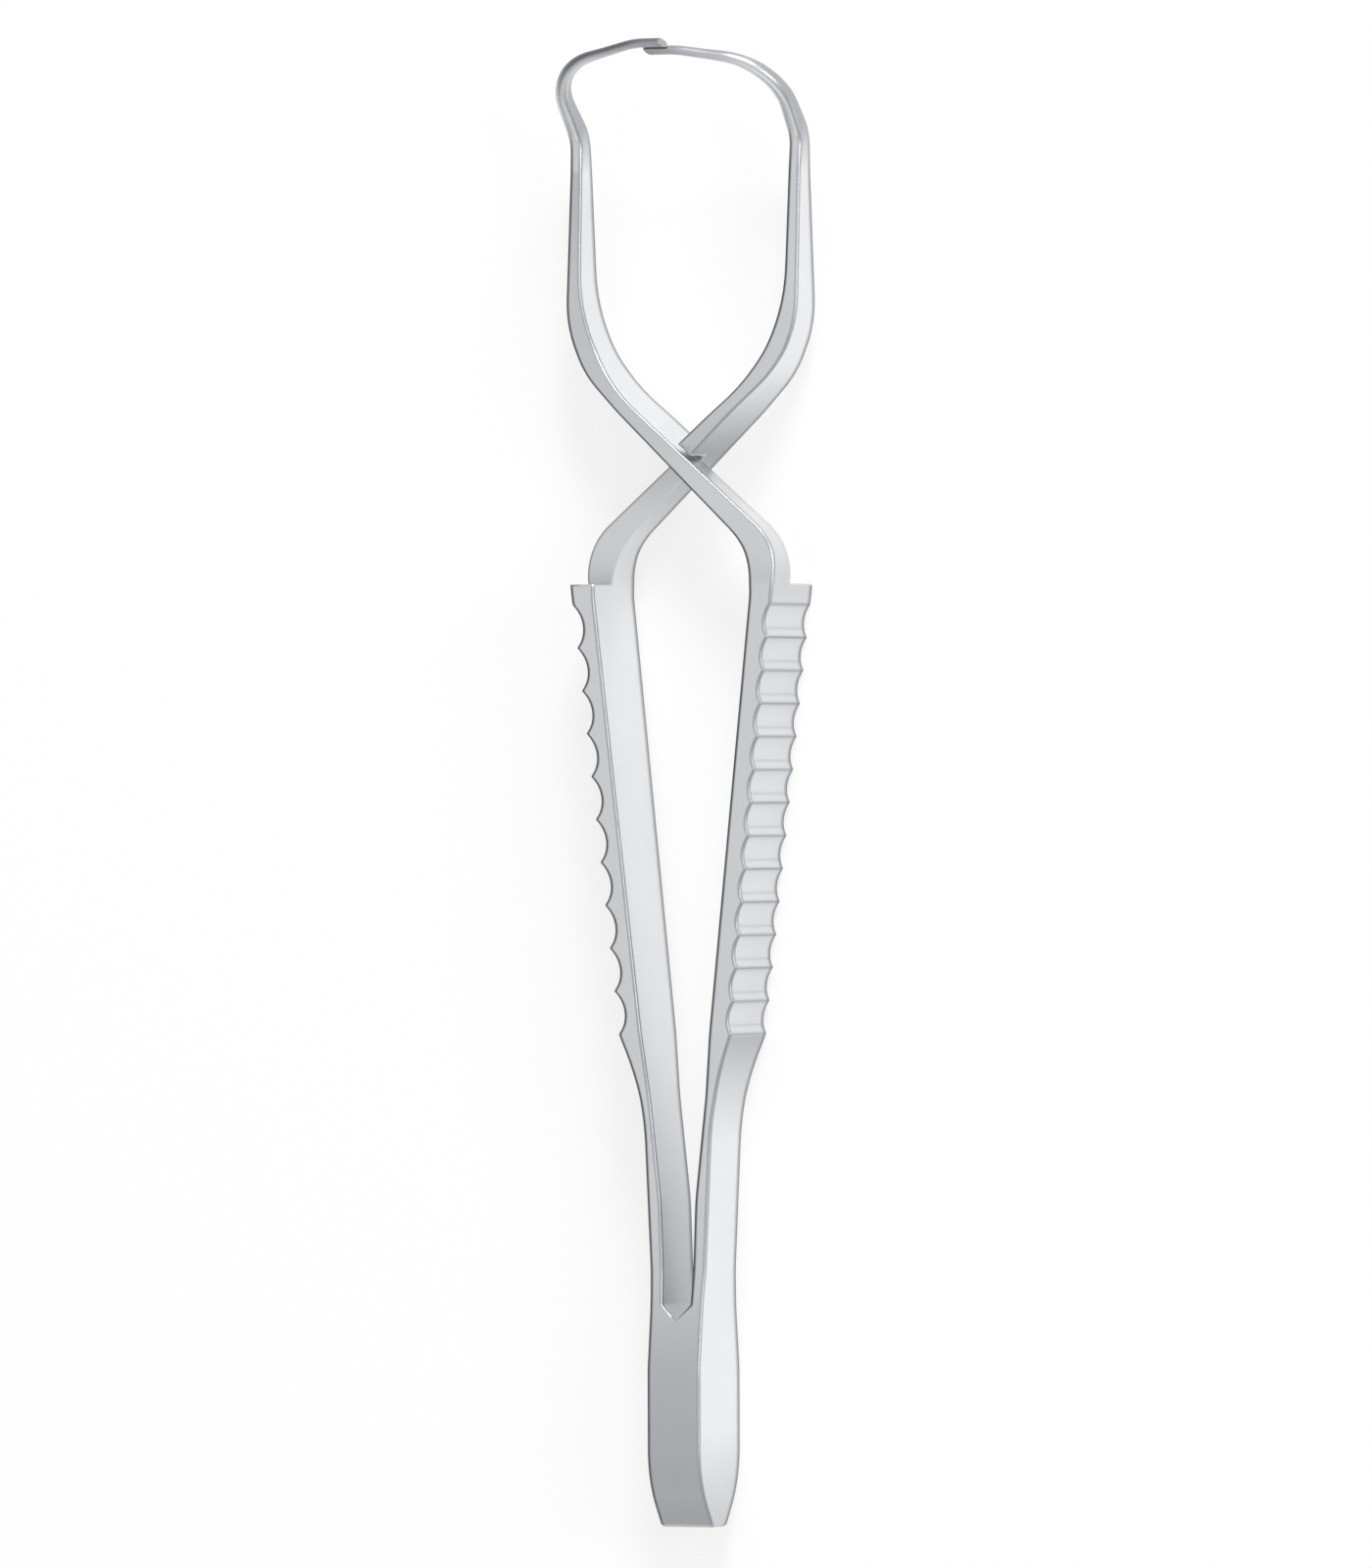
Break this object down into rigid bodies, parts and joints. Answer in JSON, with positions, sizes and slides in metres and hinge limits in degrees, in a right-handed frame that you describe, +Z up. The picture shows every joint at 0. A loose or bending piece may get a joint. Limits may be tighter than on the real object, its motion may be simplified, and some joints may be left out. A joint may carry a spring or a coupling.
{
  "type": "towel clamp",
  "caption": "Sprung towel clamp: two crossed steel arms welded at the butt, with fluted finger grips and hooked prongs that open when the grips are squeezed.",
  "frame": {"origin": "middle of the underside of the clamp's box as it lies on its back", "axes": "+X right, +Y along the clamp from the welded butt to the prong tips, +Z up"},
  "size_m": [0.0156, 0.09, 0.0084],
  "materials": {
    "steel": "satin stainless steel, lightly polished"
  },
  "bodies": {
    "butt": {"butt": "steel"},
    "right_arm": {"right_arm": "steel"},
    "left_arm": {"left_arm": "steel"}
  },
  "joints": [
    {"name": "right_arm_flex", "type": "hinge", "parent": "butt", "child": "right_arm", "pos_m": [0.00134, -0.0315, 0.00295], "axis": [0, 0, 1], "range_deg": [0, 6.5], "stiffness_Nm_per_rad": 2.5},
    {"name": "left_arm_flex", "type": "hinge", "parent": "butt", "child": "left_arm", "pos_m": [-0.00134, -0.0315, 0.00295], "axis": [0, 0, -1], "range_deg": [0, 6.5], "stiffness_Nm_per_rad": 2.5}
  ],
  "couplings": [
    {"joint": "left_arm_flex", "follows": "right_arm_flex", "ratio": 1}
  ]
}
